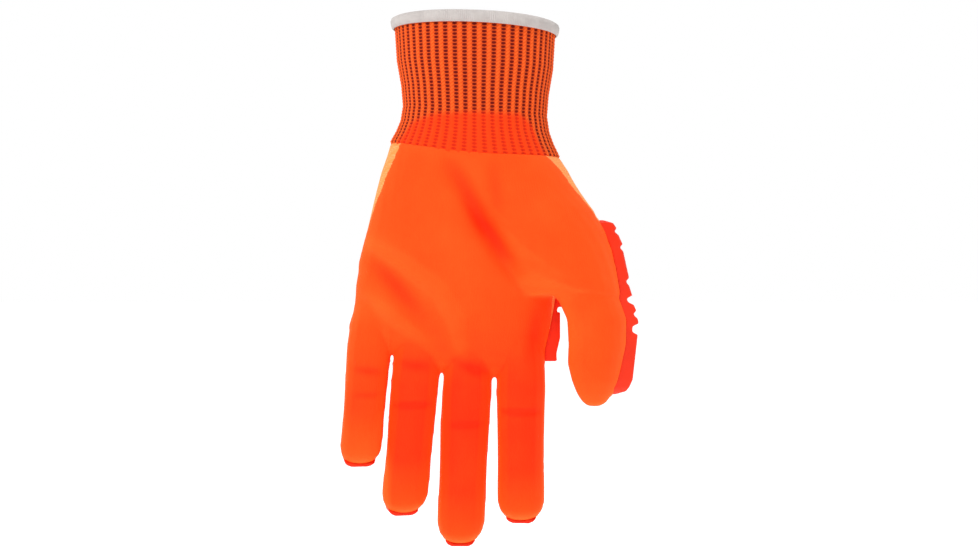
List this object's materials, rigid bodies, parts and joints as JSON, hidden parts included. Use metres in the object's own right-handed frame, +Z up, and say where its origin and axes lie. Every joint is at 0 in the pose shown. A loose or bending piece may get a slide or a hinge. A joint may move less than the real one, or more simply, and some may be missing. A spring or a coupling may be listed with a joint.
{
  "type": "impact glove",
  "caption": "Left-hand hi-vis orange impact glove, palm dipped, with ribbed knit cuff, pale bound edge and moulded rubber guards.",
  "frame": {"origin": "middle of the cuff's mouth, level with its bound edge, where the glove is held up", "axes": "+Z up out of the mouth, fingers towards -Z; palm faces -Y; thumb towards +X"},
  "size_m": [0.1392, 0.0591, 0.2471],
  "materials": {
    "coat": "matt foam dip over knit",
    "knit": "fine knitted yarn",
    "rib": "ribbed elastic knit",
    "thread": "overlock thread",
    "guard": "moulded thermoplastic rubber, satin"
  },
  "bodies": {
    "root": {"palm_dip": "coat", "knit_back": "knit", "rib_cuff": "rib", "cuff_binding": "thread", "thumb_guard": "guard", "index_guard": "guard", "middle_guard": "guard", "ring_guard": "guard", "little_guard": "guard", "knuckle_guard": "guard", "back_guard": "guard"}
  },
  "joints": []
}
